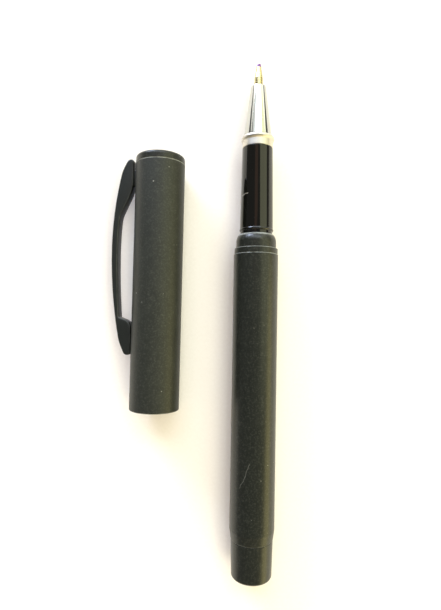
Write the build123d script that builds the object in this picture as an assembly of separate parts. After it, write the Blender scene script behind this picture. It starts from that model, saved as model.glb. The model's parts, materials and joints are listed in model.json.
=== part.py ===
from build123d import *
import math
import os

# A capped ball pen lying on a table, with its cap taken off and lying beside it.
# Row frame: +Y along the pen towards its point, +Z up, the table at z = 0.
# Each pen piece is turned about the Y axis with y = 0 at the tail end.
# Each cap piece is turned about the Y axis with y = 0 at the cap's mouth.
# Lengths are in millimetres and angles in degrees.

# Pen, outside
barrel_diameter = 10.5
barrel_back = 8.7
barrel_length = 66.25
barrel_wall = 0.8
barrel_taper_length = 2.2
barrel_taper_drop = 0.28
tail_root_drop = 0.05
tail_end_diameter = 9.4
tail_edge_radius = 0.5
ring_diameter = 10.3
ring_length = 1.4
collar_diameter = 9.5
collar_length = 1.5
shoulder_length = 1.8
shoulder_front_diameter = 8.1
groove_length = 0.7
groove_diameter = 7.6
grip_bead_length = 0.65
grip_bead_diameter = 8.04
grip_back_diameter = 7.86
grip_length = 20.8
grip_front_diameter = 7.28
land_diameter = 7.26
land_length = 1.6
nose_bead_length = 1.2
nose_bead_diameter = 7.9
cone_length = 12.4
cone_back_diameter = 6.8
cone_front_diameter = 3.6
cone_edge_radius = 0.45
point_reach = 5.7

# Pen, inside
plug_spigot_length = 6.0
spring_pocket_diameter = 6.6
spring_pocket_floor = 3.0
bush_sleeve_length = 9.4
thread_bore_diameter = 7.9
thread_depth = 0.3
thread_pitch = 1.0
thread_turns = 6
pilot_length = 1.2
sleeve_diameter = 7.0
sleeve_length = 7.0
refill_bore_diameter = 6.4
nose_spigot_diameter = 5.4
nose_spigot_length = 6.0
holder_bore_diameter = 4.6
throat_bore_diameter = 3.5
throat_length = 6.0

# Refill
refill_tube_diameter = 6.0
refill_tube_wall = 0.6
end_plug_flange = 1.5
end_plug_spigot = 4.0
end_plug_vent_diameter = 1.2
holder_flange = 1.5
holder_spigot = 4.0
holder_ink_bore_diameter = 1.2
tube_front_to_seat = 12.6
point_diameter = 2.1
point_shank_length = 5.0
point_shank_step = 0.15
point_cone_length = 3.45
point_lip_diameter = 1.16
point_feed_diameter = 0.5
ball_diameter = 1.0
ball_show_share = 0.3
ball_gap = 0.02
ink_length = 42.0
follower_length = 6.0
spring_wire_diameter = 0.4
spring_coil_diameter = 5.0
spring_length = 7.5
spring_turns = 3
spring_arcs_per_turn = 4
spring_wire_sides = 6

# Cap
cap_diameter = 11.6
cap_length = 59.7
cap_wall = 0.6
mouth_edge_chamfer = 0.2
crown_height = 1.9
crown_edge_radius = 0.7
crown_spigot_length = 0.7
crown_stud_diameter = 3.0
crown_stud_length = 5.0
clip_plug_length = 8.0
liner_room = 1.0
liner_mouth_depth = 12.6
liner_step_diameter = 8.4
liner_floor = 1.0

# Clip: each rise is a height above the cap's wall, and each reach is a distance down from the clip's top
clip_top_inset = 0.65
clip_length = 46.45
clip_width = 2.8
clip_head_length = 7.1
clip_head_gap = 0.45
clip_head_rise = 2.45
clip_crest_reach = 21.05
clip_crest_rise = 5.25
clip_tail_rise = 2.2
clip_arm_thickness = 1.45
clip_root_reach = 13.65
clip_root_rise = 3.45
clip_root_radius = 9.0
clip_arm_start_rise = 3.05
clip_pad_length = 8.9
clip_pad_slope_length = 1.9
clip_pad_slope_radius = 1.2
clip_pad_gap = 0.1
clip_pad_radius = 0.5
clip_head_radius = 1.4
clip_head_under_radius = 0.35
clip_tail_radius = 1.5
clip_edge_chamfer = 0.2
tang_reach = 4.45
tang_length = 3.6
tang_width = 1.8
tang_depth = 2.0

# How the cap lies beside the pen
cap_spacing = 23.42
cap_mouth_station = 38.1
cap_yaw = 0.33
cap_roll = 7.0

# Fits
press_gap = 0.02
running_gap = 0.05
seat_gap = 0.05
refill_gap = 0.1
cap_gap = 0.07
tang_gap = 0.25
overrun = 1.0

# Worked out from the sizes above
barrel_radius = barrel_diameter / 2
barrel_bore_radius = barrel_radius - barrel_wall
barrel_front = barrel_back + barrel_length
ring_front = barrel_front + ring_length
collar_back = ring_front + seat_gap
shoulder_back = collar_back + collar_length
collar_front = shoulder_back + shoulder_length
grip_front = collar_front + grip_length
land_front = grip_front + land_length
cone_back = land_front + nose_bead_length
cone_front = cone_back + cone_length
pen_length = cone_front + point_reach
thread_travel = thread_pitch * thread_turns
refill_bore_radius = refill_bore_diameter / 2
refill_back = spring_pocket_floor + spring_length
ball_station = pen_length - ball_diameter / 2
point_lip = pen_length - ball_diameter * ball_show_share
point_shoulder = point_lip - point_cone_length
throat_back = cone_front - throat_length
holder_front = throat_back - seat_gap
holder_step = cone_back - seat_gap
tube_front = holder_step - tube_front_to_seat
tube_back = refill_back + end_plug_flange
tube_bore_radius = refill_tube_diameter / 2 - refill_tube_wall
ink_front = tube_front - holder_spigot
cap_radius = cap_diameter / 2
cap_bore_radius = cap_radius - cap_wall
crown_back = cap_length - crown_height
plug_top = crown_back - crown_spigot_length
plug_back = plug_top - clip_plug_length
liner_back = ring_length
liner_front = plug_back - liner_room
liner_bore_radius = collar_diameter / 2 + cap_gap
clip_top = cap_length - clip_top_inset
clip_end = clip_top - clip_length
clip_crest_station = clip_top - clip_crest_reach
tang_station = clip_top - tang_reach


def turned(*corners):
    """A solid of revolution about the Y axis, from its (radius, station) corners."""
    return revolve(make_face(Polyline(*corners, close=True)), axis=Axis.Y)


def rounded_profile(corners, rounds):
    """A closed profile, with a radius at each named corner."""
    face = make_face(Polyline(*corners, close=True))
    for corner, radius in rounds:
        nearest = face.vertices().sort_by_distance(corner)[0]
        face = fillet(nearest, radius)
    return face


def tube(outer_radius, inner_radius, back, front):
    """A plain tube about the Y axis."""
    return turned((inner_radius, back), (outer_radius, back), (outer_radius, front), (inner_radius, front))


def rod(radius, back, front):
    """A plain round bar about the Y axis."""
    return turned((0, back), (radius, back), (radius, front), (0, front))


def barrel():
    taper_radius = barrel_radius - barrel_taper_drop
    return turned(
        (barrel_bore_radius, barrel_back),
        (taper_radius, barrel_back),
        (barrel_radius, barrel_back + barrel_taper_length),
        (barrel_radius, barrel_front),
        (barrel_bore_radius, barrel_front),
    )


def tail_plug():
    end_radius = tail_end_diameter / 2
    root_radius = barrel_radius - barrel_taper_drop - tail_root_drop
    spigot_radius = barrel_bore_radius - press_gap
    spigot_front = barrel_back + plug_spigot_length
    pocket_radius = spring_pocket_diameter / 2
    profile = rounded_profile(
        [
            (0, 0),
            (end_radius, 0),
            (root_radius, barrel_back),
            (spigot_radius, barrel_back),
            (spigot_radius, spigot_front),
            (pocket_radius, spigot_front),
            (pocket_radius, spring_pocket_floor),
            (0, spring_pocket_floor),
        ],
        [((end_radius, 0), tail_edge_radius)],
    )
    return revolve(profile, axis=Axis.Y)


def thread_bush():
    sleeve_radius = barrel_bore_radius - press_gap
    bore_radius = thread_bore_diameter / 2
    back = barrel_front - bush_sleeve_length
    return turned(
        (bore_radius, back),
        (sleeve_radius, back),
        (sleeve_radius, barrel_front),
        (ring_diameter / 2, barrel_front),
        (ring_diameter / 2, ring_front),
        (bore_radius, ring_front),
    )


def section_collar():
    """The cap's seat, with the screw spigot behind it and the grip's sleeve in front."""
    collar_radius = collar_diameter / 2
    front_radius = shoulder_front_diameter / 2
    pilot_radius = thread_bore_diameter / 2 - running_gap
    core_radius = pilot_radius - thread_depth
    pilot_back = collar_back - pilot_length
    spigot_back = pilot_back - thread_travel
    sleeve_front = collar_front + sleeve_length
    shoulder = TangentArc((collar_radius, shoulder_back), (front_radius, collar_front), tangent=(0, 1))
    rest = Polyline(
        (front_radius, collar_front),
        (sleeve_diameter / 2, collar_front),
        (sleeve_diameter / 2, sleeve_front),
        (refill_bore_radius, sleeve_front),
        (refill_bore_radius, spigot_back),
        (core_radius, spigot_back),
        (core_radius, pilot_back),
        (pilot_radius, pilot_back),
        (pilot_radius, collar_back),
        (collar_radius, collar_back),
        (collar_radius, shoulder_back),
    )
    return revolve(make_face(shoulder + rest), axis=Axis.Y)


def grip_sleeve():
    """The glossy grip: a groove and a bead at its back, then a slight taper to the nose."""
    bead_back = collar_front + groove_length
    bead_front = bead_back + grip_bead_length
    back_radius = grip_back_diameter / 2
    groove_radius = groove_diameter / 2
    sleeve_bore = sleeve_diameter / 2 + press_gap
    sleeve_front = collar_front + sleeve_length
    spigot_bore = nose_spigot_diameter / 2 + press_gap
    spigot_back = grip_front - nose_spigot_length
    bead = ThreePointArc(
        (groove_radius, bead_back),
        (grip_bead_diameter / 2, (bead_back + bead_front) / 2),
        (back_radius, bead_front),
    )
    rest = Polyline(
        (back_radius, bead_front),
        (grip_front_diameter / 2, grip_front),
        (spigot_bore, grip_front),
        (spigot_bore, spigot_back),
        (refill_bore_radius, spigot_back),
        (refill_bore_radius, sleeve_front),
        (sleeve_bore, sleeve_front),
        (sleeve_bore, collar_front),
        (groove_radius, collar_front),
        (groove_radius, bead_back),
    )
    return revolve(make_face(bead + rest), axis=Axis.Y)


def nose_ring():
    """The polished land and half-round bead in front of the grip."""
    bore_radius = nose_spigot_diameter / 2 + press_gap
    land_radius = land_diameter / 2
    cone_radius = cone_back_diameter / 2
    bead = ThreePointArc(
        (land_radius, land_front),
        (nose_bead_diameter / 2, (land_front + cone_back) / 2),
        (cone_radius, cone_back),
    )
    rest = Polyline(
        (cone_radius, cone_back),
        (bore_radius, cone_back),
        (bore_radius, grip_front),
        (land_radius, grip_front),
        (land_radius, land_front),
    )
    return revolve(make_face(bead + rest), axis=Axis.Y)


def nose_cone():
    """The cone, with a spigot through the nose ring into the grip and a seat for the refill."""
    spigot_radius = nose_spigot_diameter / 2
    spigot_back = grip_front - nose_spigot_length
    hole_radius = point_diameter / 2 + refill_gap
    front_corner = (cone_front_diameter / 2, cone_front)
    profile = rounded_profile(
        [
            (holder_bore_diameter / 2, spigot_back),
            (spigot_radius, spigot_back),
            (spigot_radius, cone_back),
            (cone_back_diameter / 2, cone_back),
            front_corner,
            (hole_radius, cone_front),
            (hole_radius, throat_back),
            (throat_bore_diameter / 2, throat_back),
            (throat_bore_diameter / 2, cone_back),
            (holder_bore_diameter / 2, cone_back),
        ],
        [(front_corner, cone_edge_radius)],
    )
    return revolve(profile, axis=Axis.Y)


def refill_tube():
    return tube(refill_tube_diameter / 2, tube_bore_radius, tube_back, tube_front)


def refill_end_plug():
    spigot_front = tube_back + end_plug_spigot
    spigot_radius = tube_bore_radius - press_gap
    vent_radius = end_plug_vent_diameter / 2
    return turned(
        (vent_radius, refill_back),
        (refill_tube_diameter / 2, refill_back),
        (refill_tube_diameter / 2, tube_back),
        (spigot_radius, tube_back),
        (spigot_radius, spigot_front),
        (vent_radius, spigot_front),
    )


def tip_holder():
    """The plastic nose of the refill, from its plug in the tube to its seat in the cone."""
    shank_radius = point_diameter / 2 - point_shank_step
    shank_back = holder_front - point_shank_length
    flange_front = tube_front + holder_flange
    body_radius = holder_bore_diameter / 2 - refill_gap
    nose_radius = throat_bore_diameter / 2 - refill_gap
    return turned(
        (holder_ink_bore_diameter / 2, ink_front),
        (tube_bore_radius - press_gap, ink_front),
        (tube_bore_radius - press_gap, tube_front),
        (refill_tube_diameter / 2, tube_front),
        (refill_tube_diameter / 2, flange_front),
        (body_radius, flange_front),
        (body_radius, holder_step),
        (nose_radius, holder_step),
        (nose_radius, holder_front),
        (shank_radius + press_gap, holder_front),
        (shank_radius + press_gap, shank_back),
        (holder_ink_bore_diameter / 2, shank_back),
    )


def point():
    """The metal writing point: shank, body, cone and the socket round the ball."""
    body_radius = point_diameter / 2
    shank_radius = body_radius - point_shank_step
    feed_radius = point_feed_diameter / 2
    body = turned(
        (feed_radius, holder_front - point_shank_length),
        (shank_radius, holder_front - point_shank_length),
        (shank_radius, holder_front),
        (body_radius, holder_front),
        (body_radius, point_shoulder),
        (point_lip_diameter / 2, point_lip),
        (feed_radius, point_lip),
    )
    socket = Pos(0, ball_station, 0) * Sphere(ball_diameter / 2 + ball_gap)
    return body - socket


def tip_ball():
    return Pos(0, ball_station, 0) * Sphere(ball_diameter / 2)


def ink_column():
    return rod(tube_bore_radius - press_gap, ink_front - ink_length, ink_front)


def ink_follower():
    front = ink_front - ink_length
    return rod(tube_bore_radius - press_gap, front - follower_length, front)


def refill_spring():
    """The spring between the tail plug and the refill: six-sided wire, as arcs along its helix."""
    wire_radius = spring_wire_diameter / 2
    coil_radius = spring_coil_diameter / 2
    back = spring_pocket_floor + wire_radius + press_gap
    pitch = (refill_back - wire_radius - press_gap - back) / spring_turns

    def on_helix(arc):
        turn = arc / spring_arcs_per_turn
        angle = 2 * math.pi * turn
        return (coil_radius * math.cos(angle), back + pitch * turn, -coil_radius * math.sin(angle))

    arc_count = spring_turns * spring_arcs_per_turn
    arcs = [ThreePointArc(on_helix(k), on_helix(k + 1 / 2), on_helix(k + 1)) for k in range(arc_count)]
    path = Wire([arc.edge() for arc in arcs])
    start = Plane(origin=path @ 0, z_dir=path % 0)
    return sweep(start * RegularPolygon(wire_radius, spring_wire_sides), path=path)


def tang_block(gap):
    """The clip's tang through the cap's wall, or the hole for it where gap is more than 0."""
    inner = cap_bore_radius - tang_depth
    outer = cap_radius + clip_head_gap
    size = (outer - inner + overrun, tang_length + 2 * gap, tang_width + 2 * gap)
    centre = Pos(-(inner + outer + overrun) / 2 + gap, tang_station, 0)
    return centre * Box(*size)


def cap_tube():
    wall = turned(
        (cap_bore_radius, 0),
        (cap_radius - mouth_edge_chamfer, 0),
        (cap_radius, mouth_edge_chamfer),
        (cap_radius, crown_back),
        (cap_bore_radius, crown_back),
    )
    return wall - tang_block(tang_gap)


def cap_crown():
    """The disc that closes the cap, with its spigot in the wall and its stud in the plug."""
    stud_radius = crown_stud_diameter / 2
    spigot_radius = cap_bore_radius - press_gap
    rim = (cap_radius, cap_length)
    profile = rounded_profile(
        [
            (0, plug_top - crown_stud_length),
            (stud_radius, plug_top - crown_stud_length),
            (stud_radius, plug_top),
            (spigot_radius, plug_top),
            (spigot_radius, crown_back),
            (cap_radius, crown_back),
            rim,
            (0, cap_length),
        ],
        [(rim, crown_edge_radius)],
    )
    return revolve(profile, axis=Axis.Y)


def clip_plug():
    """The inner plug that holds the clip's tang and the crown's stud."""
    hole_radius = crown_stud_diameter / 2 + press_gap
    plug = turned(
        (0, plug_back),
        (cap_bore_radius - press_gap, plug_back),
        (cap_bore_radius - press_gap, plug_top),
        (hole_radius, plug_top),
        (hole_radius, plug_top - crown_stud_length - press_gap),
        (0, plug_top - crown_stud_length - press_gap),
    )
    return plug - tang_block(tang_gap)


def cap_liner():
    """The inner sleeve: a bore that runs on the collar, then a closed chamber for the nose."""
    outer = cap_bore_radius - press_gap
    step = liner_back + liner_mouth_depth
    chamber = liner_step_diameter / 2
    return turned(
        (liner_bore_radius, liner_back),
        (outer, liner_back),
        (outer, liner_front),
        (0, liner_front),
        (0, liner_front - liner_floor),
        (chamber, liner_front - liner_floor),
        (chamber, step),
        (liner_bore_radius, step),
    )


def clip_side(rise, station):
    """A point of the clip's side view, rise above the cap's wall, on the cap's -X side."""
    return (-(cap_radius + rise), station)


def clip_outline():
    """The clip's side view: an arm bowed in two arcs, between a thick head and a rounded pad."""
    to_top = (0, 1)
    to_end = (0, -1)
    crest = clip_side(clip_crest_rise, clip_crest_station)
    crest_under = clip_side(clip_crest_rise - clip_arm_thickness, clip_crest_station)
    head_corner = clip_side(clip_head_rise, clip_top)
    head_under = clip_side(clip_head_gap, clip_top)
    head_back = clip_side(clip_head_gap, clip_top - clip_head_length)
    root = clip_side(clip_root_rise, clip_top - clip_root_reach)
    tail_corner = clip_side(clip_tail_rise, clip_end)
    pad_corner = clip_side(clip_pad_gap, clip_end)
    pad_brow = clip_side(clip_pad_gap, clip_end + clip_pad_length - clip_pad_slope_length)
    arm_start = clip_side(clip_arm_start_rise, clip_end + clip_pad_length)
    sides = [
        TangentArc(crest, head_corner, tangent=to_top),
        TangentArc(crest, tail_corner, tangent=to_end),
        TangentArc(crest_under, root, tangent=to_top),
        TangentArc(crest_under, arm_start, tangent=to_end),
        Polyline(tail_corner, pad_corner, pad_brow, arm_start),
        Polyline(root, head_back, head_under, head_corner),
    ]
    face = make_face(Curve() + sides)
    for corner, radius in (
        (head_corner, clip_head_radius),
        (head_under, clip_head_under_radius),
        (head_back, clip_root_radius),
        (root, clip_root_radius),
        (arm_start, clip_pad_slope_radius),
        (pad_brow, clip_pad_slope_radius),
        (pad_corner, clip_pad_radius),
        (tail_corner, clip_tail_radius),
    ):
        face = fillet(face.vertices().sort_by_distance(corner)[0], radius)
    return face


def cap_clip():
    """The bowed clip with eased long edges and its tang."""
    bar = Pos(0, 0, -clip_width / 2) * extrude(clip_outline(), amount=clip_width)
    flanks = bar.faces().sort_by(Axis.Z)
    bar = chamfer(flanks[0].edges() + flanks[-1].edges(), clip_edge_chamfer)
    return bar + tang_block(0)


def crest_reach():
    """How far the clip's crest stands from the pen's axis, square to it, as the cap lies."""
    roll = math.radians(cap_roll)
    out = (cap_radius + clip_crest_rise) * math.cos(roll) + clip_width / 2 * math.sin(roll)
    return cap_spacing + out - clip_crest_station * math.sin(math.radians(cap_yaw))


# The pair stands on the table with the middle of its footprint at the origin.
pen_x = (crest_reach() - barrel_radius) / 2
pen_y = -pen_length / 2
pen_place = Pos(pen_x, pen_y, barrel_radius)
cap_place = Pos(pen_x - cap_spacing, pen_y + cap_mouth_station, cap_radius)
cap_place = cap_place * Rot(0, 0, -cap_yaw) * Rot(0, -cap_roll, 0)

pen_pieces = [
    barrel,
    tail_plug,
    thread_bush,
    section_collar,
    grip_sleeve,
    nose_ring,
    nose_cone,
    refill_tube,
    refill_end_plug,
    tip_holder,
    point,
    tip_ball,
    ink_column,
    ink_follower,
    refill_spring,
]
cap_pieces = [cap_tube, cap_crown, clip_plug, cap_liner, cap_clip]

os.makedirs("parts", exist_ok=True)
for place, pieces in ((pen_place, pen_pieces), (cap_place, cap_pieces)):
    for piece in pieces:
        export_step(place * piece(), f"parts/{piece.__name__}.step")
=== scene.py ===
import json
import math

import bmesh
import bpy
from mathutils import Matrix, Vector


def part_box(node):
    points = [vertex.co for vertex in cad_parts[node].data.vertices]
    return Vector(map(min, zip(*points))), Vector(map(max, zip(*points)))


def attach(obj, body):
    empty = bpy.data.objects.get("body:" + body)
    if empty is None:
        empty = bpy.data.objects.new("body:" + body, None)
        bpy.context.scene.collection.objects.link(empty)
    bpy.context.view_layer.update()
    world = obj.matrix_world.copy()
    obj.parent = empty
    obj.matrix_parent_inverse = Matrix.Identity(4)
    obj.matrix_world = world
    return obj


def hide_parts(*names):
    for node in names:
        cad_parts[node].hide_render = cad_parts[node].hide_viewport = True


# A capped ball pen lying open on a pale table, with its cap beside it.
# The pen's pieces are turned about their own Y axis, with y = 0 at the tail end,
# and the cap's about theirs, with y = 0 at the cap's mouth. Sizes are in millimetres.
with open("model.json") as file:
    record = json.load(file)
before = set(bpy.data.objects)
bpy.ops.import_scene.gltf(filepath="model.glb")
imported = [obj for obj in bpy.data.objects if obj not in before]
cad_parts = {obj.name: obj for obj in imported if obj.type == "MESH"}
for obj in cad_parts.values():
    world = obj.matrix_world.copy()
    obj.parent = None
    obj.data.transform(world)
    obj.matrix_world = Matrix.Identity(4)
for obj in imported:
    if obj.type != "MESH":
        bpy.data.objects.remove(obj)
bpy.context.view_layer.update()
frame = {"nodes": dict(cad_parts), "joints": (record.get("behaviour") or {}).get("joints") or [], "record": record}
MM = 0.001

# Barrel and tail. A rub is the share of wear that an edge shows.
barrel_radius = 5.25
barrel_bore = 4.45
barrel_back = 8.7
barrel_front = 74.95
barrel_back_rub = 0.7
taper_front = 10.9
taper_radius = 4.97
taper_round = 0.9
tail_root_radius = 4.92
tail_root_rub = 0.0
tail_end_radius = 4.7
tail_edge_round = 0.5
tail_spigot_front = 14.7
press_gap = 0.02
spring_pocket_radius = 3.3
spring_pocket_floor = 3.0

# Threaded bush and its ring
ring_radius = 5.15
ring_front = 76.35
bush_back = 65.55
bush_groove_depth = 0.22
bush_thread_lead = 0.5
bush_thread_runout = 0.3

# Screw thread. Its flanks would meet at the crest height if its top were not flat, its slope is their
# fall over a pitch, both in depths of thread, and it fades in over a share of a turn.
thread_bore = 3.95
thread_depth = 0.3
thread_pitch = 1.0
thread_margin = 0.2
thread_crest = 1.45
thread_slope = 3.6
thread_fade = 0.4

# Section: collar, grip and chrome nose
collar_back = 76.4
collar_radius = 4.75
shoulder_back = 77.9
shoulder_rub_length = 0.7
collar_front = 79.7
shoulder_front_radius = 4.05
pilot_radius = 3.9
pilot_back = 75.2
spigot_back = 69.2
core_radius = 3.6
sleeve_radius = 3.5
sleeve_front = 86.7
refill_bore = 3.2
groove_radius = 3.8
grip_bead_back = 80.4
grip_bead_front = 81.05
grip_bead_radius = 4.02
grip_back_radius = 3.93
grip_front = 100.5
grip_front_radius = 3.64
nose_spigot_back = 94.5
nose_spigot_radius = 2.7
land_radius = 3.63
land_front = 102.1
land_edge_round = 0.06
nose_bead_radius = 3.95
cone_back = 103.3
cone_back_radius = 3.4
cone_front = 115.7
cone_front_radius = 1.8
cone_edge_round = 0.45
holder_bore = 2.3
throat_bore = 1.75
throat_back = 109.7
point_hole = 1.15

# Writing point and ball
point_radius = 1.05
point_shank_radius = 0.9
point_shank_back = 104.65
point_shank_front = 109.65
point_shoulder = 117.65
point_shoulder_round = 0.35
point_lip = 121.1
point_lip_radius = 0.5
point_feed_radius = 0.25
ball_radius = 0.45
ball_station = 120.9
socket_gap = 0.02

# Film of ink, from the ball over the point's lip and a little way back
film_reach = 0.8
film_depth = 0.02
film_fade = 0.1
film_root = 0.05
film_lip_inset = 0.01
film_lip_rise = 0.012
film_middle_rise = 0.022
meniscus_top = 0.03
meniscus_rise = 0.01
meniscus_gap = 0.004
meniscus_bite = 0.02

# Cap
cap_radius = 5.8
cap_bore = 5.2
cap_length = 59.7
mouth_edge_round = 0.25
crown_back = 57.8
crown_edge_round = 0.7
plug_top = 57.1
stud_radius = 1.5
stud_end = 52.1
liner_back = 1.4
liner_bore = 4.82
liner_step = 14.0
liner_chamber = 4.2
liner_chamber_round = 0.4
liner_front = 48.1
liner_floor = 1.0

# Clip: rises above the cap's wall, and stations from the cap's mouth
clip_top = 59.05
clip_end = 12.6
clip_width = 2.8
clip_edge_round = 0.28
clip_head_back = 51.95
clip_head_gap = 0.45
clip_head_rise = 2.45
clip_head_flat_rise = 1.75
clip_head_round = 1.0
clip_head_under_round = 0.6
clip_crest_station = 38.0
clip_crest_rise = 5.25
clip_crest_under_rise = 3.8
clip_root_station = 45.4
clip_root_rise = 3.45
clip_root_round = 9.0
clip_arm_start_rise = 3.05
clip_pad_front = 21.5
clip_pad_brow = 20.4
clip_pad_root_round = 0.4
clip_pad_brow_round = 2.2
clip_pad_gap = 0.1
clip_pad_round = 0.7
clip_tail_rise = 2.2
clip_tail_flat_rise = 1.5
clip_tail_round = 1.0
clip_turn_round = 9.0
clip_angle = 1.5 * math.pi
tang_station = 54.6
tang_length = 3.6
tang_width = 1.8
tang_inner_radius = 3.2
tang_overlap = 0.2
tang_gap = 0.25

# Rounds of the edges that have none of their own
edge_round = 0.12
inner_edge_round = 0.2
sleeve_edge_round = 0.15
fine_edge_round = 0.1
crisp_edge_round = 0.05

# Marks: the two ends of each, seen from above, and their widths
barrel_scratch = ((-3.2, 21.5), (-1.1, 27.2))
scratch_width = 0.13
scratch_strength = 0.22
grip_lint = ((-3.7, 88.8), (-2.3, 89.2))
lint_width = 0.22
waver_length = 2.0
waver_swing = 0.8

# How finely the meshes are made
turn_steps = 144
arc_steps = 6
thread_steps = 16
ball_steps = 32
bow_steps = 8
clip_pad_steps = 6
clip_root_steps = 3
slot_half_columns = 5
sharp_angle = math.radians(38)
same_radius = 1e-6
same_row = 1e-4

# How edges are eased: the most of an edge that one arc may take, how far wear reaches past an arc, how
# long an edge must be, in such reaches, to get a point there, and how far the wear of small arcs spreads
arc_share = 0.49
wear_reach = 0.16
wear_room = 2.2
wear_spread = 1.3

# Where the pen and the cap lie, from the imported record
barrel_low, barrel_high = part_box("barrel")
tail_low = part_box("tail_plug")[0]
pen_centre = (barrel_low + barrel_high) / 2
pen_place = Matrix.Translation((pen_centre.x, tail_low.y, pen_centre.z))
joint_axis = {joint["name"]: Vector(joint["axis"]).normalized() for joint in frame["joints"]}
mount_place = {mount["name"]: Vector(mount["pos_m"]) for mount in frame["record"]["mounts"]}
cap_along = joint_axis["cap_draw"]
cap_across = -joint_axis["clip_flex"]
cap_place = Matrix((cap_along.cross(cap_across), cap_along, cap_across)).transposed().to_4x4()
cap_place.translation = mount_place["crown_face"] - cap_along * cap_length * MM

# A colour mix's sockets go by number, because its mixes of numbers and vectors use the same names
FACTOR, FIRST, SECOND, MIXED = 0, 6, 7, 2


def linear(code):
    """An sRGB hex colour as linear light, with full alpha."""
    parts = [int(code[k:k + 2], 16) / 255 for k in (1, 3, 5)]
    return [c / 12.92 if c <= 0.04045 else ((c + 0.055) / 1.055) ** 2.4 for c in parts] + [1.0]


def per_mm(size):
    """The texture scale that gives features of this many millimetres."""
    return 1 / (size * MM)


def add(tree, kind, settings={}, values={}, links={}):
    """A node with its settings, its sockets' values and its incoming links."""
    made = tree.nodes.new(kind)
    for name, value in settings.items():
        setattr(made, name, value)
    for socket, value in values.items():
        made.inputs[socket].default_value = value
    for socket, source in links.items():
        tree.links.new(source, made.inputs[socket])
    return made


def blank(name, **values):
    """A material with only its shader, the shader's node tree and its object coordinates."""
    material = bpy.data.materials.new(name)
    material.use_nodes = True
    tree = material.node_tree
    tree.nodes.clear()
    constants = {socket.replace("_", " "): value for socket, value in values.items()}
    shader = add(tree, "ShaderNodeBsdfPrincipled", values=constants)
    add(tree, "ShaderNodeOutputMaterial", links={"Surface": shader.outputs["BSDF"]})
    coords = add(tree, "ShaderNodeTexCoord").outputs["Object"]
    return material, tree, shader, coords


def feed(tree, shader, colour, rough=None, bump=None):
    """Leads a finish's mixed colour, its range of roughness and its bump into the shader."""
    tree.links.new(colour.outputs[MIXED], shader.inputs["Base Color"])
    if rough:
        tree.links.new(rough.outputs["Result"], shader.inputs["Roughness"])
    if bump:
        tree.links.new(bump.outputs["Normal"], shader.inputs["Normal"])


def hairline(tree, coords, start, end, width):
    """Where a fine wavering scratch between two (x, y) points lies on a piece's upper side. The points
    and the width are in millimetres."""
    run = Vector(end) - Vector(start)
    half = run.length / 2 * MM
    placing = {"Location": (start[0] * MM, start[1] * MM, 0), "Rotation": (0, 0, math.atan2(run.y, run.x))}
    along = add(tree, "ShaderNodeMapping", {"vector_type": "TEXTURE"}, placing, {"Vector": coords})
    place = add(tree, "ShaderNodeSeparateXYZ", links={"Vector": along.outputs[0]})
    waver = add(tree, "ShaderNodeTexNoise", values={"Scale": per_mm(waver_length), "Detail": 2.0},
                links={"Vector": coords}).outputs["Fac"]
    off = add(tree, "ShaderNodeMath", {"operation": "MULTIPLY_ADD"}, {1: waver_swing * MM},
              {0: waver, 2: place.outputs["Y"]})
    near = add(tree, "ShaderNodeMath", {"operation": "COMPARE"},
               {1: waver_swing / 2 * MM, 2: width / 2 * MM}, {0: off.outputs[0]})
    within = add(tree, "ShaderNodeMath", {"operation": "COMPARE"}, {1: half, 2: half},
                 {0: place.outputs["X"]})
    upper = add(tree, "ShaderNodeMath", {"operation": "GREATER_THAN"}, {1: 0.0}, {0: place.outputs["Z"]})
    line = add(tree, "ShaderNodeMath", {"operation": "MULTIPLY"},
               links={0: near.outputs[0], 1: within.outputs[0]})
    return add(tree, "ShaderNodeMath", {"operation": "MULTIPLY"},
               links={0: line.outputs[0], 1: upper.outputs[0]}).outputs[0]


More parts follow.
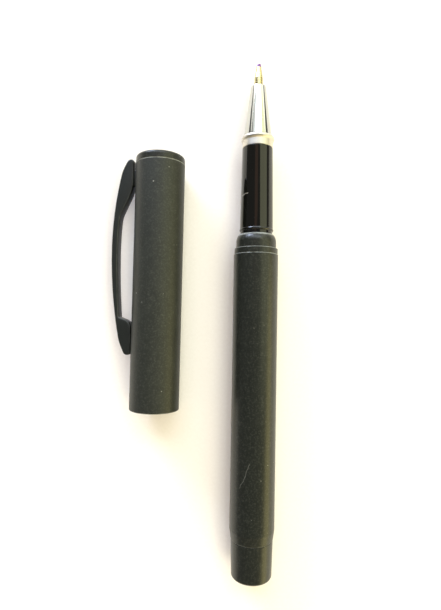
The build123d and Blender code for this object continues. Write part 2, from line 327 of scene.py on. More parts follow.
def soft_touch_lacquer(name, deep, pale, roughness, scratch=None):
    """Soft-touch lacquer sprayed on a metal tube: a dry satin black with a fine pale grain, drawn
    0.4 mm wide, which is coarser than the real tooth so that it shows. Dust is caught in it, handling
    clouds it between a deep and a pale shade, and its edges are rubbed to a lighter grey. scratch is a
    hairline's two ends."""
    material, tree, shader, coords = blank(name, IOR=1.46)
    tooth = add(tree, "ShaderNodeTexNoise", values={"Scale": per_mm(0.4), "Detail": 4.0, "Roughness": 0.7},
                links={"Vector": coords}).outputs["Fac"]
    cloud = add(tree, "ShaderNodeTexNoise", values={"Scale": per_mm(3.2), "Detail": 6.0, "Roughness": 0.72},
                links={"Vector": coords}).outputs["Fac"]
    clouded = add(tree, "ShaderNodeMix", {"data_type": "RGBA"},
                  {FIRST: linear(deep), SECOND: linear(pale)}, {FACTOR: cloud})
    fleck = add(tree, "ShaderNodeMapRange", values={"From Min": 0.5, "From Max": 0.72, "To Max": 0.6},
                links={"Value": tooth})
    flecked = add(tree, "ShaderNodeMix", {"data_type": "RGBA"}, {SECOND: linear("#42453e")},
                  {FACTOR: fleck.outputs["Result"], FIRST: clouded.outputs[MIXED]})
    dust = add(tree, "ShaderNodeTexVoronoi", values={"Scale": per_mm(1.7)}, links={"Vector": coords})
    chance = add(tree, "ShaderNodeSeparateColor", links={"Color": dust.outputs["Color"]})
    size = add(tree, "ShaderNodeMapRange", values={"From Min": 0.4, "To Max": 0.1},
               links={"Value": chance.outputs["Red"]})
    speck = add(tree, "ShaderNodeMath", {"operation": "LESS_THAN"},
                links={0: dust.outputs["Distance"], 1: size.outputs["Result"]})
    faint = add(tree, "ShaderNodeMath", {"operation": "POWER"}, {1: 2.0}, {0: chance.outputs["Green"]})
    shown = add(tree, "ShaderNodeMath", {"operation": "MULTIPLY"},
                links={0: speck.outputs[0], 1: faint.outputs[0]})
    if scratch:
        line = hairline(tree, coords, *scratch, scratch_width)
        shown = add(tree, "ShaderNodeMath", {"operation": "MULTIPLY_ADD"}, {1: scratch_strength},
                    {0: line, 2: shown.outputs[0]})
    dusty = add(tree, "ShaderNodeMix", {"data_type": "RGBA"}, {SECOND: linear("#9c9e95")},
                {FACTOR: shown.outputs[0], FIRST: flecked.outputs[MIXED]})
    wear = add(tree, "ShaderNodeAttribute", {"attribute_name": "wear"}).outputs["Fac"]
    patchy = add(tree, "ShaderNodeTexNoise", values={"Scale": per_mm(1.2), "Detail": 2.0},
                 links={"Vector": coords}).outputs["Fac"]
    rubbed = add(tree, "ShaderNodeMath", {"operation": "MULTIPLY"}, links={0: wear, 1: patchy})
    rub = add(tree, "ShaderNodeMapRange", values={"From Min": 0.12, "From Max": 0.5},
              links={"Value": rubbed.outputs[0]})
    worn = add(tree, "ShaderNodeMix", {"data_type": "RGBA"}, {SECOND: linear("#8f9490")},
               {FACTOR: rub.outputs["Result"], FIRST: dusty.outputs[MIXED]})
    rough = add(tree, "ShaderNodeMapRange", values={"To Min": roughness - 0.06, "To Max": roughness + 0.06},
                links={"Value": tooth})
    bump = add(tree, "ShaderNodeBump", values={"Strength": 0.35, "Distance": 0.012 * MM},
               links={"Height": tooth})
    feed(tree, shader, worn, rough, bump)
    return material


def gloss_black_moulding(lint_ends):
    """Glossy black ABS, injection moulded: a near-black body, a clear mirror gloss with a slight
    orange peel, faint handling smears, a few bright specks of dust and a fibre of lint between two ends."""
    material, tree, shader, coords = blank("gloss_black_abs_moulded", IOR=1.54)
    smear = add(tree, "ShaderNodeTexNoise", values={"Scale": per_mm(5.0), "Detail": 4.0, "Distortion": 0.6},
                links={"Vector": coords}).outputs["Fac"]
    rough = add(tree, "ShaderNodeMapRange",
                values={"From Min": 0.35, "From Max": 0.75, "To Min": 0.045, "To Max": 0.13},
                links={"Value": smear})
    peel = add(tree, "ShaderNodeTexNoise", values={"Scale": per_mm(1.4), "Detail": 1.0},
               links={"Vector": coords}).outputs["Fac"]
    bump = add(tree, "ShaderNodeBump", values={"Strength": 0.2, "Distance": 0.004 * MM},
               links={"Height": peel})
    dust = add(tree, "ShaderNodeTexVoronoi", values={"Scale": per_mm(2.6)}, links={"Vector": coords})
    chance = add(tree, "ShaderNodeSeparateColor", links={"Color": dust.outputs["Color"]})
    size = add(tree, "ShaderNodeMapRange", values={"From Min": 0.75, "To Max": 0.06},
               links={"Value": chance.outputs["Red"]})
    speck = add(tree, "ShaderNodeMath", {"operation": "LESS_THAN"},
                links={0: dust.outputs["Distance"], 1: size.outputs["Result"]})
    lint = hairline(tree, coords, *lint_ends, lint_width)
    marked = add(tree, "ShaderNodeMath", {"operation": "MAXIMUM"}, links={0: speck.outputs[0], 1: lint})
    colour = add(tree, "ShaderNodeMix", {"data_type": "RGBA"},
                 {FIRST: linear("#070706"), SECOND: linear("#77746c")}, {FACTOR: marked.outputs[0]})
    feed(tree, shader, colour, rough, bump)
    return material


def plated_brass(name, bright, dull, clear, smeared):
    """Chrome plate on turned brass: a cool bright metal with hair-fine polishing rings and faint
    finger marks that dull the mirror in patches, between a clear and a smeared roughness."""
    material, tree, shader, coords = blank(name, Metallic=1.0)
    smear = add(tree, "ShaderNodeTexNoise", values={"Scale": per_mm(3.0), "Detail": 4.0},
                links={"Vector": coords}).outputs["Fac"]
    rough = add(tree, "ShaderNodeMapRange",
                values={"From Min": 0.4, "From Max": 0.8, "To Min": clear, "To Max": smeared},
                links={"Value": smear})
    tint = add(tree, "ShaderNodeMix", {"data_type": "RGBA"},
               {FIRST: linear(bright), SECOND: linear(dull)}, {FACTOR: smear})
    stretch = add(tree, "ShaderNodeMapping", values={"Scale": (0.02, 1.0, 0.02)}, links={"Vector": coords})
    rings = add(tree, "ShaderNodeTexNoise", values={"Scale": per_mm(0.12), "Detail": 2.0},
                links={"Vector": stretch.outputs[0]}).outputs["Fac"]
    bump = add(tree, "ShaderNodeBump", values={"Strength": 0.06, "Distance": 0.003 * MM},
               links={"Height": rings})
    feed(tree, shader, tint, rough, bump)
    return material


def turned_nickel_silver():
    """Nickel silver, turned on a lathe: a warm straw-coloured metal with tool rings round it. The rings
    are drawn 0.6 mm apart, which is coarser than the real ones so that they show: a wave's bands lie
    about a third of its scale's size apart."""
    material, tree, shader, coords = blank("nickel_silver_turned", Metallic=1.0)
    rings = add(tree, "ShaderNodeTexWave", {"bands_direction": "Y", "wave_profile": "SIN"},
                {"Scale": per_mm(2.0), "Distortion": 0.4, "Detail": 1.0}, {"Vector": coords}).outputs["Fac"]
    stain = add(tree, "ShaderNodeTexNoise", values={"Scale": per_mm(0.8), "Detail": 3.0},
                links={"Vector": coords}).outputs["Fac"]
    colour = add(tree, "ShaderNodeMix", {"data_type": "RGBA"},
                 {FIRST: linear("#d3c79c"), SECOND: linear("#bcae7e")}, {FACTOR: stain})
    rough = add(tree, "ShaderNodeMapRange", values={"To Min": 0.18, "To Max": 0.3}, links={"Value": rings})
    bump = add(tree, "ShaderNodeBump", values={"Strength": 0.15, "Distance": 0.005 * MM},
               links={"Height": rings})
    feed(tree, shader, colour, rough, bump)
    return material


def inked_carbide():
    """A ground carbide ball under a film of violet ink: a dark mirror, violet where the film is
    thick and greyer where it has drawn off."""
    material, tree, shader, coords = blank(
        "carbide_ball_inked", Metallic=0.4, Coat_Weight=1.0, Coat_Roughness=0.05)
    film = add(tree, "ShaderNodeTexNoise", values={"Scale": per_mm(0.35), "Detail": 2.0},
               links={"Vector": coords}).outputs["Fac"]
    colour = add(tree, "ShaderNodeMix", {"data_type": "RGBA"},
                 {FIRST: linear("#683379"), SECOND: linear("#886390")}, {FACTOR: film})
    rough = add(tree, "ShaderNodeMapRange", values={"To Min": 0.08, "To Max": 0.25}, links={"Value": film})
    feed(tree, shader, colour, rough)
    return material


def violet_ink():
    """Wet violet ink: deep violet, glossy, with a slow swirl of thicker and thinner dye."""
    material, tree, shader, coords = blank("violet_ink_wet", IOR=1.38, Coat_Weight=0.6, Coat_Roughness=0.04)
    swirl = add(tree, "ShaderNodeTexNoise", values={"Scale": per_mm(0.6), "Detail": 3.0, "Distortion": 1.2},
                links={"Vector": coords}).outputs["Fac"]
    colour = add(tree, "ShaderNodeMix", {"data_type": "RGBA"},
                 {FIRST: linear("#58246b"), SECOND: linear("#854e94")}, {FACTOR: swirl})
    rough = add(tree, "ShaderNodeMapRange", values={"To Min": 0.06, "To Max": 0.2}, links={"Value": swirl})
    feed(tree, shader, colour, rough)
    return material


def satin_black_enamel():
    """Satin black enamel, stoved on a pressed steel clip: smooth and half-glossy, with a fine orange
    peel, and rubbed to a lighter grey along its edges."""
    material, tree, shader, coords = blank("black_enamel_stoved", IOR=1.52)
    peel = add(tree, "ShaderNodeTexNoise", values={"Scale": per_mm(0.45), "Detail": 2.0},
               links={"Vector": coords}).outputs["Fac"]
    cloud = add(tree, "ShaderNodeTexNoise", values={"Scale": per_mm(3.5), "Detail": 3.0},
                links={"Vector": coords}).outputs["Fac"]
    clouded = add(tree, "ShaderNodeMix", {"data_type": "RGBA"},
                  {FIRST: linear("#141716"), SECOND: linear("#202422")}, {FACTOR: cloud})
    wear = add(tree, "ShaderNodeAttribute", {"attribute_name": "wear"}).outputs["Fac"]
    rubbed = add(tree, "ShaderNodeMath", {"operation": "MULTIPLY"}, links={0: wear, 1: cloud})
    rub = add(tree, "ShaderNodeMapRange", values={"From Min": 0.3, "From Max": 0.7, "To Max": 0.5},
              links={"Value": rubbed.outputs[0]})
    worn = add(tree, "ShaderNodeMix", {"data_type": "RGBA"}, {SECOND: linear("#6c726e")},
               {FACTOR: rub.outputs["Result"], FIRST: clouded.outputs[MIXED]})
    rough = add(tree, "ShaderNodeMapRange",
                values={"From Min": 0.3, "From Max": 0.7, "To Min": 0.28, "To Max": 0.38},
                links={"Value": peel})
    bump = add(tree, "ShaderNodeBump", values={"Strength": 0.2, "Distance": 0.006 * MM},
               links={"Height": peel})
    feed(tree, shader, worn, rough, bump)
    return material


def moulded_plastic(name, pale, deep, roughness, tooth_size, **values):
    """An uncoated moulded plastic: its tool's spark-eroded tooth at the given size, and slight flow
    clouding between two shades."""
    material, tree, shader, coords = blank(name, **values)
    tooth = add(tree, "ShaderNodeTexNoise", values={"Scale": per_mm(tooth_size), "Detail": 2.0},
                links={"Vector": coords}).outputs["Fac"]
    flow = add(tree, "ShaderNodeTexNoise", values={"Scale": per_mm(6.0), "Detail": 2.0, "Distortion": 1.0},
               links={"Vector": coords}).outputs["Fac"]
    colour = add(tree, "ShaderNodeMix", {"data_type": "RGBA"},
                 {FIRST: linear(deep), SECOND: linear(pale)}, {FACTOR: flow})
    rough = add(tree, "ShaderNodeMapRange", values={"To Min": roughness - 0.06, "To Max": roughness + 0.08},
                links={"Value": tooth})
    bump = add(tree, "ShaderNodeBump", values={"Strength": 0.2, "Distance": 0.008 * MM},
               links={"Height": tooth})
    feed(tree, shader, colour, rough, bump)
    return material


def drawn_wire():
    """Spring steel, drawn through a die: a grey metal with fine drawing marks and a little oil bloom."""
    material, tree, shader, coords = blank("spring_steel_drawn", Metallic=1.0)
    marks = add(tree, "ShaderNodeTexNoise", values={"Scale": per_mm(0.15), "Detail": 3.0},
                links={"Vector": coords}).outputs["Fac"]
    colour = add(tree, "ShaderNodeMix", {"data_type": "RGBA"},
                 {FIRST: linear("#8b8c8a"), SECOND: linear("#b4b5b2")}, {FACTOR: marks})
    rough = add(tree, "ShaderNodeMapRange", values={"To Min": 0.22, "To Max": 0.4}, links={"Value": marks})
    feed(tree, shader, colour, rough)
    return material


def table_laminate():
    """A pale matt table top: warm white with a fine even tooth that only shows in the shadows."""
    material, tree, shader, coords = blank("pale_table_laminate", IOR=1.45, Roughness=0.7)
    tooth = add(tree, "ShaderNodeTexNoise", values={"Scale": per_mm(0.7), "Detail": 3.0},
                links={"Vector": coords}).outputs["Fac"]
    colour = add(tree, "ShaderNodeMix", {"data_type": "RGBA"},
                 {FIRST: linear("#efece6"), SECOND: linear("#f7f5f0")}, {FACTOR: tooth})
    bump = add(tree, "ShaderNodeBump", values={"Strength": 0.25, "Distance": 0.03 * MM},
               links={"Height": tooth})
    feed(tree, shader, colour, bump=bump)
    return material


lacquer = soft_touch_lacquer("soft_touch_lacquer_sprayed", "#0f120f", "#20231e", 0.32)
# The cap's copy is rougher. Its paler shades are painted light: they stand in for the brighter light that falls on
# the cap.
cap_lacquer_painted_paler = soft_touch_lacquer("soft_touch_lacquer_painted_paler_on_cap", "#171a16", "#2a2d27", 0.48)
scratched_lacquer = soft_touch_lacquer(
    "soft_touch_lacquer_scratched", "#0f120f", "#20231e", 0.32, barrel_scratch)
gloss_black = gloss_black_moulding(grip_lint)
chrome = plated_brass("chrome_plate_polished", "#c8cac8", "#bfbeb8", 0.04, 0.14)
satin_chrome = plated_brass("chrome_plate_satin", "#e0dcd3", "#d6cfc0", 0.42, 0.52)
nickel_silver = turned_nickel_silver()
carbide = inked_carbide()
ink = violet_ink()
enamel = satin_black_enamel()
black_plastic = moulded_plastic("black_polypropylene_moulded", "#1a1a19", "#111110", 0.46, 0.3, IOR=1.49)
white_plastic = moulded_plastic("natural_acetal_moulded", "#e8e6de", "#dcd9cf", 0.4, 0.3, IOR=1.48)
clear_plastic = moulded_plastic(
    "clear_polypropylene_extruded", "#eef0ee", "#e2e6e4", 0.22, 0.6, IOR=1.49, Transmission_Weight=0.75)
grease = moulded_plastic(
    "follower_grease", "#e4d9a6", "#d3c68d", 0.2, 1.0, IOR=1.46, Transmission_Weight=0.5)
spring_steel = drawn_wire()
table_top = table_laminate()


def turning_area(points):
    """Twice the area inside a closed outline, above zero when it runs anticlockwise."""
    return sum(before.x * here.y - here.x * before.y for before, here in zip([points[-1]] + points, points))


def eased(corners):
    """The closed outline through (radius, station) corners, with an arc at each that also has a round. A
    corner's fourth number is its rub. Gives (radius, station, wear) points, where wear is high on small
    outer arcs."""
    points = [Vector((c[0], c[1])) for c in corners]
    area = turning_area(points)
    outline = []
    for k, here in enumerate(points):
        size = corners[k][2] if len(corners[k]) > 2 else 0
        if not size:
            outline.append((here.x, here.y, 0.0))
            continue
        back, ahead = points[k - 1] - here, points[(k + 1) % len(points)] - here
        to_back, to_ahead = back.normalized(), ahead.normalized()
        half = to_back.angle(to_ahead) / 2
        reach = min(size / math.tan(half), arc_share * back.length, arc_share * ahead.length)
        size = reach * math.tan(half)
        centre = here + (to_back + to_ahead).normalized() * size / math.sin(half)
        outward = (to_ahead.x * to_back.y - to_ahead.y * to_back.x) * area > 0
        worn = min(1.0, edge_round * wear_spread / size) if outward else 0.0
        if len(corners[k]) > 3:
            worn *= corners[k][3]
        start, end = here + to_back * reach - centre, here + to_ahead * reach - centre
        turn = start.angle_signed(end)
        past = reach + wear_reach
        if back.length > wear_room * past:
            lead = here + to_back * past
            outline.append((lead.x, lead.y, 0.0))
        for step in range(arc_steps + 1):
            share = step / arc_steps
            spoke = start.copy()
            spoke.rotate(Matrix.Rotation(-turn * share, 2))
            outline.append((centre.x + spoke.x, centre.y + spoke.y, worn * math.sin(math.pi * share)))
        if ahead.length > wear_room * past:
            trail = here + to_ahead * past
            outline.append((trail.x, trail.y, 0.0))
    return outline


def arc_through(first, middle, last):
    """Points of the arc through three (radius, station) points, both ends included."""
    a, b, c = Vector(first), Vector(middle), Vector(last)
    d = 2 * (a.x * (b.y - c.y) + b.x * (c.y - a.y) + c.x * (a.y - b.y))
    squares = [p.length_squared for p in (a, b, c)]
    centre = Vector((
        (squares[0] * (b.y - c.y) + squares[1] * (c.y - a.y) + squares[2] * (a.y - b.y)) / d,
        (squares[0] * (c.x - b.x) + squares[1] * (a.x - c.x) + squares[2] * (b.x - a.x)) / d))
    spokes = [a - centre, b - centre, c - centre]
    turn = spokes[0].angle_signed(spokes[1]) + spokes[1].angle_signed(spokes[2])
    points = []
    for step in range(2 * arc_steps + 1):
        spoke = spokes[0].copy()
        spoke.rotate(Matrix.Rotation(-turn * step / (2 * arc_steps), 2))
        points.append((centre.x + spoke.x, centre.y + spoke.y))
    return points


def bow(crest, end, steps):
    """Points of the arc that leaves the crest along the axis and runs to the end, both included."""
    drop, run = crest[0] - end[0], end[1] - crest[1]
    radius = (drop ** 2 + run ** 2) / (2 * drop)
    sweep = math.asin(run / radius)
    angles = [sweep * k / steps for k in range(steps + 1)]
    return [(crest[0] - radius * (1 - math.cos(a)), crest[1] + radius * math.sin(a)) for a in angles]


def settle(name, bm, wear, place, body, material, replaces):
    """Finishes a piece: smooth shading with sharp corners kept, finish, place and body, and hides the CAD part
    that it replaces.
    """
    bmesh.ops.recalc_face_normals(bm, faces=bm.faces)
    mesh = bpy.data.meshes.new(name)
    bm.to_mesh(mesh)
    bm.free()
    mesh.attributes.new("wear", "FLOAT", "POINT").data.foreach_set("value", wear)
    mesh.materials.append(material)
    mesh.shade_smooth()
    mesh.set_sharp_from_angle(angle=sharp_angle)
    piece = bpy.data.objects.new(name, mesh)
    bpy.context.scene.collection.objects.link(piece)
    piece.matrix_world = place
    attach(piece, body)
    if replaces:
        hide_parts(replaces)


def turned(name, outline, place, body, material, replaces=None, reshape=None, window=None):
    """A closed piece turned about its Y axis from (radius, station, wear) points. reshape changes a
    point's radius by its station and angle. window is (angle, columns each side, low, high), cut
    through the wall between two rows that the outline has on both its faces."""
    bm = bmesh.new()
    wear, rings = [], []
    for radius, station, worn in outline:
        columns = 1 if radius < same_radius else turn_steps
        ring = []
        for k in range(columns):
            angle = 2 * math.pi * k / turn_steps
            reach = reshape(radius, station, angle) if reshape else radius
            spot = (reach * math.sin(angle) * MM, station * MM, reach * math.cos(angle) * MM)
            ring.append(bm.verts.new(spot))
            wear.append(worn)
        rings.append(ring)
    cut = set()
    if window:
        heading, half, bottom, top = window
        middle = round(heading / (2 * math.pi) * turn_steps)
        cut = {(middle + k) % turn_steps for k in range(-half, half)}
    walls = []
    for k, ring in enumerate(rings):
        after = (k + 1) % len(rings)
        other = rings[after]
        rows = outline[k][1], outline[after][1]
        opened = window and abs(min(rows) - bottom) < same_row and abs(max(rows) - top) < same_row
        if opened:
            walls.append((ring, other) if rows[0] < rows[1] else (other, ring))
        if len(ring) == 1 and len(other) == 1:
            continue
        for a in range(turn_steps):
            if opened and a in cut:
                continue
            b = (a + 1) % turn_steps
            near, far = len(ring), len(other)
            corners = [ring[a % near], ring[b % near], other[b % far], other[a % far]]
            bm.faces.new(list(dict.fromkeys(corners)))
    if walls:
        (low_a, high_a), (low_b, high_b) = walls
        for a in cut:
            b = (a + 1) % turn_steps
            bm.faces.new((low_a[a], low_a[b], low_b[b], low_b[a]))
            bm.faces.new((high_a[a], high_a[b], high_b[b], high_b[a]))
        for a in ((middle - half) % turn_steps, (middle + half) % turn_steps):
            bm.faces.new((low_a[a], high_a[a], high_b[a], low_b[a]))
    settle(name, bm, wear, place, body, material, replaces)


def along_thread(radius, low, high):
    """Plain points along a threaded wall, close enough together to carry the thread."""
    count = round((high - low) / thread_pitch * thread_steps)
    return [(radius, low + (high - low) * k / count) for k in range(1, count)]


def thread_rise(station, angle, low, high):
    """How far a right-hand thread stands up at a point, from 0 to 1, fading in at both ends."""
    phase = (station / thread_pitch - angle / (2 * math.pi)) % 1
    ridge = min(1.0, max(0.0, thread_crest - thread_slope * abs(phase - 0.5)))
    run_in = thread_fade * thread_pitch
    fade = min(1.0, max(0.0, (station - low) / run_in), max(0.0, (high - station) / run_in))
    return ridge * fade


# Barrel, tail and threaded bush
turned("barrel_tube", eased([
    (barrel_bore, barrel_back), (taper_radius, barrel_back, edge_round, barrel_back_rub),
    (barrel_radius, taper_front, taper_round), (barrel_radius, barrel_front, edge_round),
    (barrel_bore, barrel_front)]),
    pen_place, "barrel", scratched_lacquer, "barrel")
turned("tail_cap", eased([
    (0, 0), (tail_end_radius, 0, tail_edge_round),
    (tail_root_radius, barrel_back, edge_round, tail_root_rub), (barrel_bore - press_gap, barrel_back),
    (barrel_bore - press_gap, tail_spigot_front, inner_edge_round),
    (spring_pocket_radius, tail_spigot_front), (spring_pocket_radius, spring_pocket_floor),
    (0, spring_pocket_floor)]),
    pen_place, "barrel", lacquer, "tail_plug")


def bush_thread(radius, station, angle):
    """The bush's radius, with the grooves that the screw's ridges run in."""
    cut = thread_rise(station + thread_pitch / 2, angle, bush_back + bush_thread_lead,
                      pilot_back + bush_thread_runout)
    return radius + bush_groove_depth * cut if abs(radius - thread_bore) < same_radius else radius


turned("bush_and_ring", eased(
    [(thread_bore, bush_back), (barrel_bore - press_gap, bush_back, sleeve_edge_round),
     (barrel_bore - press_gap, barrel_front), (ring_radius, barrel_front, edge_round),
     (ring_radius, ring_front, edge_round), (thread_bore, ring_front, edge_round)]
    + along_thread(thread_bore, bush_back, ring_front - thread_margin)[::-1]),
    pen_place, "barrel", lacquer, "thread_bush", reshape=bush_thread)


# Section: collar with its screw, grip, chrome ring and cone
def collar_thread(radius, station, angle):
    """The collar's radius, with the screw's ridges on its core."""
    rise = thread_rise(station, angle, spigot_back + thread_margin, pilot_back)
    return radius + thread_depth * rise if abs(radius - core_radius) < same_radius else radius


def rub_shoulder(radius, station, worn):
    """A collar point with the rubbing that grows towards the front of its shoulder."""
    rub = 1 - (collar_front - station) / shoulder_rub_length
    return radius, station, max(worn, rub) if radius > sleeve_radius and rub > 0 else worn


shoulder = bow((collar_radius, shoulder_back), (shoulder_front_radius, collar_front), 2 * arc_steps)
collar_outline = eased(
    shoulder[:-1]
    + [(shoulder_front_radius, collar_front, edge_round), (sleeve_radius, collar_front),
       (sleeve_radius, sleeve_front, sleeve_edge_round), (refill_bore, sleeve_front),
       (refill_bore, spigot_back, fine_edge_round), (core_radius, spigot_back, edge_round)]
    + along_thread(core_radius, spigot_back + thread_margin / 2, pilot_back)
    + [(core_radius, pilot_back), (pilot_radius, pilot_back, edge_round), (pilot_radius, collar_back),
       (collar_radius, collar_back, edge_round)])
turned("collar_and_screw", [rub_shoulder(*point) for point in collar_outline],
       pen_place, "section", lacquer, "section_collar", reshape=collar_thread)
grip_bead = arc_through(
    (groove_radius, grip_bead_back), (grip_bead_radius, (grip_bead_back + grip_bead_front) / 2),
    (grip_back_radius, grip_bead_front))
turned("grip", eased(
    [(groove_radius, collar_front)] + grip_bead
    + [(grip_back_radius, grip_bead_front + edge_round), (grip_front_radius, grip_front, edge_round),
       (nose_spigot_radius + press_gap, grip_front), (nose_spigot_radius + press_gap, nose_spigot_back),
       (refill_bore, nose_spigot_back), (refill_bore, sleeve_front),
       (sleeve_radius + press_gap, sleeve_front), (sleeve_radius + press_gap, collar_front)]),
    pen_place, "section", gloss_black, "grip_sleeve")
nose_bead = arc_through(
    (land_radius, land_front), (nose_bead_radius, (land_front + cone_back) / 2),
    (cone_back_radius, cone_back))
turned("nose_land_and_bead", eased(
    [(land_radius, grip_front, land_edge_round)] + nose_bead
    + [(nose_spigot_radius + press_gap, cone_back), (nose_spigot_radius + press_gap, grip_front)]),
    pen_place, "section", satin_chrome, "nose_ring")
turned("nose_tip_cone", eased([
    (nose_spigot_radius, nose_spigot_back, fine_edge_round), (nose_spigot_radius, cone_back),
    (cone_back_radius, cone_back, crisp_edge_round), (cone_front_radius, cone_front, cone_edge_round),
    (point_hole, cone_front, crisp_edge_round), (point_hole, throat_back), (throat_bore, throat_back),
    (throat_bore, cone_back), (holder_bore, cone_back), (holder_bore, nose_spigot_back)]),
    pen_place, "section", chrome, "nose_cone")

# Writing point, ball and the ink round it
socket = ball_radius + socket_gap
lip_bore = math.sqrt(socket ** 2 - (point_lip - ball_station) ** 2)
feed_front = ball_station - math.sqrt(socket ** 2 - point_feed_radius ** 2)
socket_wall = arc_through((lip_bore, point_lip), (socket, ball_station), (point_feed_radius, feed_front))
turned("writing_point", eased(
    [(point_feed_radius, point_shank_back), (point_shank_radius, point_shank_back, fine_edge_round),
     (point_shank_radius, point_shank_front), (point_radius, point_shank_front, crisp_edge_round),
     (point_radius, point_shoulder, point_shoulder_round), (point_lip_radius, point_lip, crisp_edge_round)]
    + socket_wall),
    pen_place, "refill", nickel_silver, "point")
half_turn = [math.pi * k / ball_steps for k in range(1, ball_steps)]
turned("writing_ball",
       [(0.0, ball_station - ball_radius, 0.0)]
       + [(ball_radius * math.sin(a), ball_station - ball_radius * math.cos(a), 0.0) for a in half_turn]
       + [(0.0, ball_station + ball_radius, 0.0)],
       pen_place, "ball", carbide, "tip_ball")
film_back = point_lip - film_reach
film_front = point_lip - film_root
meniscus = point_lip + meniscus_top
cone_slope = (point_radius - point_lip_radius) / (point_lip - point_shoulder)
film_back_radius = point_lip_radius + cone_slope * (point_lip - film_back)
ball_at_lip = math.sqrt(ball_radius ** 2 - (meniscus - ball_station) ** 2)
turned("ink_film", eased(
    [(lip_bore, film_front), (film_back_radius - film_depth, film_back),
     (film_back_radius + film_depth, film_back + film_fade, film_depth),
     (point_lip_radius + film_depth, film_front, film_depth)]
    + arc_through((point_lip_radius - film_lip_inset, point_lip + film_lip_rise),
                  ((point_lip_radius + ball_at_lip) / 2, point_lip + film_middle_rise),
                  (ball_at_lip + meniscus_gap, meniscus + meniscus_rise))
    + [(ball_at_lip - meniscus_bite, meniscus)]),
    pen_place, "refill", ink)

# Cap, with the slot for the clip's tang
slot_low = tang_station - tang_length / 2 - tang_gap
slot_high = tang_station + tang_length / 2 + tang_gap
# The cap's tube takes the lacquer's paler copy, and its extra lightness is painted light.
turned("cap_body", eased([
    (cap_bore, 0, fine_edge_round), (cap_radius, 0, mouth_edge_round), (cap_radius, slot_low),
    (cap_radius, slot_high), (cap_radius, crown_back, edge_round), (cap_bore, crown_back),
    (cap_bore, slot_high), (cap_bore, slot_low)]),
    cap_place, "cap", cap_lacquer_painted_paler, "cap_tube",
    window=(clip_angle, slot_half_columns, slot_low, slot_high))
turned("cap_top_disc", eased([
    (0, stud_end), (stud_radius, stud_end, inner_edge_round), (stud_radius, plug_top),
    (cap_bore - press_gap, plug_top, fine_edge_round), (cap_bore - press_gap, crown_back),
    (cap_radius, crown_back, edge_round), (cap_radius, cap_length, crown_edge_round), (0, cap_length)]),
    cap_place, "cap", lacquer, "cap_crown")
turned("cap_inner_sleeve", eased([
    (liner_bore, liner_back, inner_edge_round), (cap_bore - press_gap, liner_back, fine_edge_round),
    (cap_bore - press_gap, liner_front), (0, liner_front), (0, liner_front - liner_floor),
    (liner_chamber, liner_front - liner_floor, liner_chamber_round),
    (liner_chamber, liner_step, inner_edge_round), (liner_bore, liner_step, inner_edge_round)]),
    cap_place, "cap", black_plastic, "cap_liner")


def side(rise, station, size=0):
    """A corner of the clip's side view, as a radius, a station and a round."""
    return (cap_radius + rise, station, size)


def clip_bar():
    """The clip's bar: its side view across its width, with every long edge rounded."""
    crest = side(clip_crest_rise, clip_crest_station)
    under = side(clip_crest_under_rise, clip_crest_station)
    to_head = bow(crest, side(clip_head_rise, clip_top), bow_steps)
    to_tail = bow(crest, side(clip_tail_rise, clip_end), bow_steps)
    to_root = bow(under, side(clip_root_rise, clip_root_station), clip_root_steps)
    to_pad = bow(under, side(clip_arm_start_rise, clip_pad_front), clip_pad_steps)
    view = eased(
        to_head[1:-2]
        + [(*to_head[-2], clip_turn_round),
           side(clip_head_flat_rise, clip_top, clip_head_round),
           side(clip_head_gap, clip_top, clip_head_under_round),
           side(clip_head_gap, clip_head_back, clip_root_round),
           side(clip_root_rise, clip_root_station, clip_root_round)]
        + to_root[-2::-1] + to_pad[1:-1]
        + [side(clip_arm_start_rise, clip_pad_front, clip_pad_root_round),
           side(clip_pad_gap, clip_pad_brow, clip_pad_brow_round),
           side(clip_pad_gap, clip_end, clip_pad_round),
           side(clip_tail_flat_rise, clip_end, clip_tail_round),
           (*to_tail[-2], clip_turn_round)]
        + to_tail[-3::-1])
    points = [Vector((-radius, station)) for radius, station, worn in view]
    count = len(points)
    inner_side = 1 if turning_area(points) > 0 else -1
    inward = []
    for k, here in enumerate(points):
        before, after = (here - points[k - 1]).normalized(), (points[(k + 1) % count] - here).normalized()
        inward.append((before.orthogonal() + after.orthogonal()).normalized() * inner_side)
    bm = bmesh.new()
    wear, rings = [], []
    steps = [(1, k) for k in range(arc_steps + 1)] + [(-1, k) for k in range(arc_steps, -1, -1)]
    for way, k in steps:
        angle = math.pi / 2 * k / arc_steps
        inset = clip_edge_round * (1 - math.sin(angle))
        across = way * (clip_width / 2 - clip_edge_round * (1 - math.cos(angle)))
        ring = []
        for here, normal in zip(points, inward):
            at = here + normal * inset
            ring.append(bm.verts.new((at.x * MM, at.y * MM, across * MM)))
            wear.append(math.sin(2 * angle))
        rings.append(ring)
    for ring, other in zip(rings, rings[1:]):
        for a in range(count):
            b = (a + 1) % count
            bm.faces.new((ring[a], ring[b], other[b], other[a]))
    flanks = [bm.faces.new(rings[0]), bm.faces.new(rings[-1])]
    bmesh.ops.triangulate(bm, faces=flanks)
    settle("clip_bar", bm, wear, cap_place, "clip", enamel, "cap_clip")


def clip_tang():
    """The tang under the clip's head, through the cap's wall, with broken edges."""
    inner, outer = tang_inner_radius, cap_radius + clip_head_gap + tang_overlap
    bm = bmesh.new()
    bmesh.ops.create_cube(bm, size=1.0)
    for vert in bm.verts:
        vert.co = Vector((
            (-(inner + outer) / 2 + vert.co.x * (outer - inner)) * MM,
            (tang_station + vert.co.y * tang_length) * MM,
            vert.co.z * tang_width * MM))
    bmesh.ops.bevel(bm, geom=list(bm.edges), offset=edge_round * MM, segments=3, profile=0.5, affect="EDGES")
    settle("clip_tang", bm, [0.0] * len(bm.verts), cap_place, "clip", enamel, None)


clip_bar()
clip_tang()

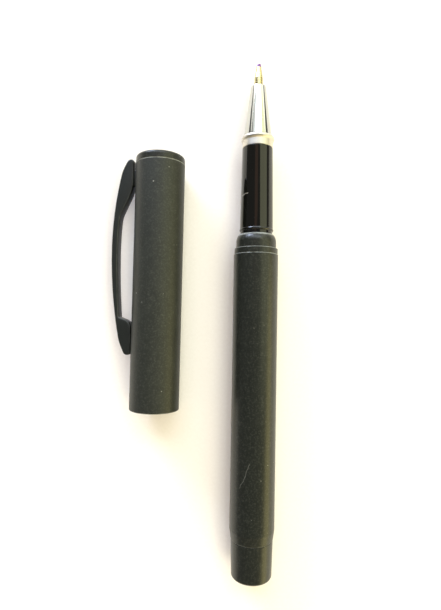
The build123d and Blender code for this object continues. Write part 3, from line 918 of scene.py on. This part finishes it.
# Inner pieces that keep their CAD shape
for node, finish in (
        ("refill_tube", clear_plastic), ("refill_end_plug", white_plastic), ("tip_holder", white_plastic),
        ("ink_column", ink), ("ink_follower", grease), ("refill_spring", spring_steel),
        ("clip_plug", black_plastic)):
    for slot in frame["nodes"][node].material_slots:
        slot.material = finish

# Table top, in metres
table_half = 1.6
table_corners = [(x * table_half, y * table_half, 0) for x, y in ((-1, -1), (1, -1), (1, 1), (-1, 1))]
table_mesh = bpy.data.meshes.new("table_top")
table_mesh.from_pydata(table_corners, [], [(0, 1, 2, 3)])
table_mesh.materials.append(table_top)
table = bpy.data.objects.new("table_top", table_mesh)
bpy.context.scene.collection.objects.link(table)


def panel(name, bearing, tilt, width, height, colour, radiance, distance=1.3):
    """A soft light panel that faces the pair. Its bearing runs from +Y towards +X and its tilt from
    the zenith, both in degrees. Its width, height and distance are in metres, and its brightness is the
    radiance of its face."""
    lamp = bpy.data.lights.new(name, "AREA")
    lamp.shape = "RECTANGLE"
    lamp.size, lamp.size_y = width, height
    lamp.color = linear(colour)[:3]
    lamp.energy = radiance * math.pi * width * height
    light = bpy.data.objects.new(name, lamp)
    bpy.context.scene.collection.objects.link(light)
    turn, lean = math.radians(bearing), math.radians(tilt)
    away = Vector((math.sin(turn) * math.sin(lean), math.cos(turn) * math.sin(lean), math.cos(lean)))
    level = Vector((0, 0, 1)).cross(away).normalized()
    facing = Matrix((level, away.cross(level), away)).transposed().to_4x4()
    light.matrix_world = Matrix.Translation(away * distance) @ facing
    return light


# Three panels only fill: they light the table and the matt finishes, and the gloss does not mirror them
fills = (
    panel("ceiling", bearing=95, tilt=14, width=1.0, height=1.0, colour="#fff6e6", radiance=2.3),
    panel("near_fill", bearing=138, tilt=45, width=0.9, height=0.8, colour="#fff6dc", radiance=1.8),
    panel("left_fill", bearing=-90, tilt=38, width=1.0, height=0.8, colour="#ffb45e", radiance=0.7))
for fill in fills:
    fill.visible_glossy = False
panel("far_window", bearing=0, tilt=43.5, width=1.1, height=0.55, colour="#e6f1ff", radiance=4.4)
panel("warm_card", bearing=-22, tilt=22, width=0.42, height=0.4, colour="#ffbd97", radiance=0.4)
panel("right_wall", bearing=60, tilt=48, width=1.4, height=1.1, colour="#fdffd0", radiance=1.5)
panel("right_low", bearing=119, tilt=76, width=1.85, height=0.62, colour="#fff0a4", radiance=3.0)
panel("near_glow", bearing=180, tilt=70, width=1.1, height=0.5, colour="#ffe3a8", radiance=2.2)
panel("far_wall", bearing=0, tilt=72, width=3.4, height=0.8, colour="#fbfaf2", radiance=1.2, distance=1.5)
panel("left_wall", bearing=-32, tilt=60, width=0.5, height=0.6, colour="#f4f8f6", radiance=1.0)
panel("low_window", bearing=-31, tilt=74, width=0.5, height=0.4, colour="#d3e0ff", radiance=24.0)

# The room's faint light, and the pale backdrop that is seen past the table
world = bpy.data.worlds.new("room")
bpy.context.scene.world = world
world.use_nodes = True
sky = world.node_tree
sky.nodes.clear()
room = add(sky, "ShaderNodeBackground", values={"Color": linear("#f2f0e6"), "Strength": 0.2})
backdrop = add(sky, "ShaderNodeBackground", values={"Color": linear("#f2f0ea"), "Strength": 1.0})
seen = add(sky, "ShaderNodeLightPath").outputs["Is Camera Ray"]
shown = add(sky, "ShaderNodeMixShader", links={0: seen, 1: room.outputs[0], 2: backdrop.outputs[0]})
add(sky, "ShaderNodeOutputWorld", links={"Surface": shown.outputs[0]})
bpy.context.scene.view_settings.view_transform = "Standard"

# Camera above the table, as the photograph was taken: millimetres from the tail end, and radians
camera_from_tail = (-8.19, 59.83, 109.79)
camera_pitch = 0.0294
camera_roll = 0.0178
focal_pixels = 440
image_height = 610
lens = bpy.data.cameras.new("camera")
lens.sensor_width = 36
lens.lens = lens.sensor_width * focal_pixels / image_height
lens.clip_start = 0.005
camera = bpy.data.objects.new("camera", lens)
bpy.context.scene.collection.objects.link(camera)
camera.matrix_world = (
    Matrix.Translation(Vector((pen_centre.x, tail_low.y, 0)) + Vector(camera_from_tail) * MM)
    @ Matrix.Rotation(camera_roll, 4, "Z") @ Matrix.Rotation(camera_pitch, 4, "X"))
bpy.context.scene.camera = camera

bpy.context.view_layer.update()
